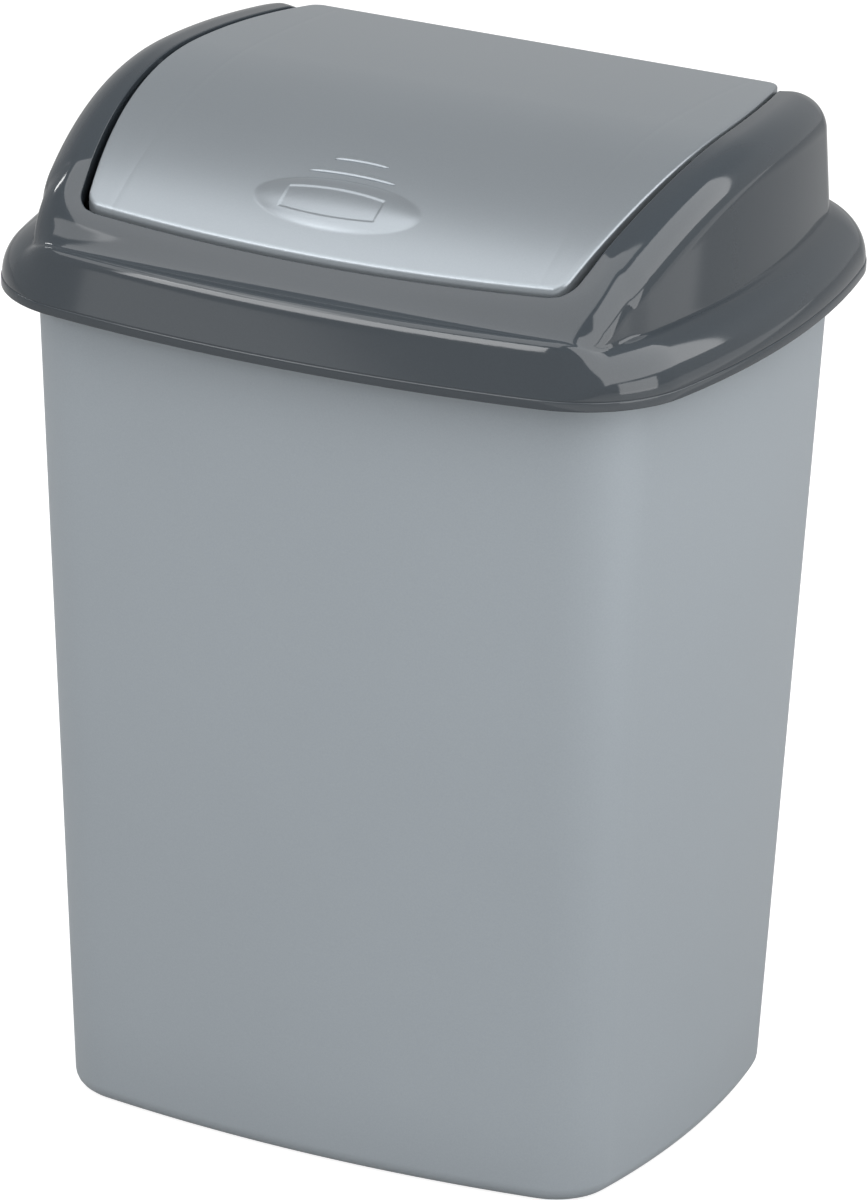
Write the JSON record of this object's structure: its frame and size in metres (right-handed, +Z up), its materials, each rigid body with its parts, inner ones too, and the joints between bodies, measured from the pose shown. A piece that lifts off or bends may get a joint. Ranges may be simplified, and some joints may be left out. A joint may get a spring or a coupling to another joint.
{
  "type": "swing-lid bin",
  "caption": "Tapered free-standing kitchen bin with a domed lift-off hood and an arched flap that swings in or out on moulded pivot pins to let rubbish through.",
  "frame": {"origin": "on the floor, under the middle of the bin", "axes": "+Z up, -Y to the front where the flap slopes down to its push pad, +X to the right seen from the front"},
  "size_m": [0.3376, 0.2848, 0.4538],
  "materials": {
    "bin_body": "satin silver-grey moulding with fine metallic pigment",
    "hood": "polished dark slate-grey moulding",
    "swing_flap": "semi-gloss silver-grey moulding with fine metallic pigment"
  },
  "bodies": {
    "bin": {"bin_body": "bin_body"},
    "lid": {"hood": "hood"},
    "flap": {"swing_flap": "swing_flap"}
  },
  "joints": [
    {"name": "hood_lift", "type": "slide", "parent": "bin", "child": "lid", "axis": [0, 0, 1], "range_m": [0, 0.1]},
    {"name": "flap_swing", "type": "hinge", "parent": "lid", "child": "flap", "pos_m": [0, -0.00778, 0.4462], "axis": [1, 0, 0], "range_deg": [-40, 80]}
  ]
}
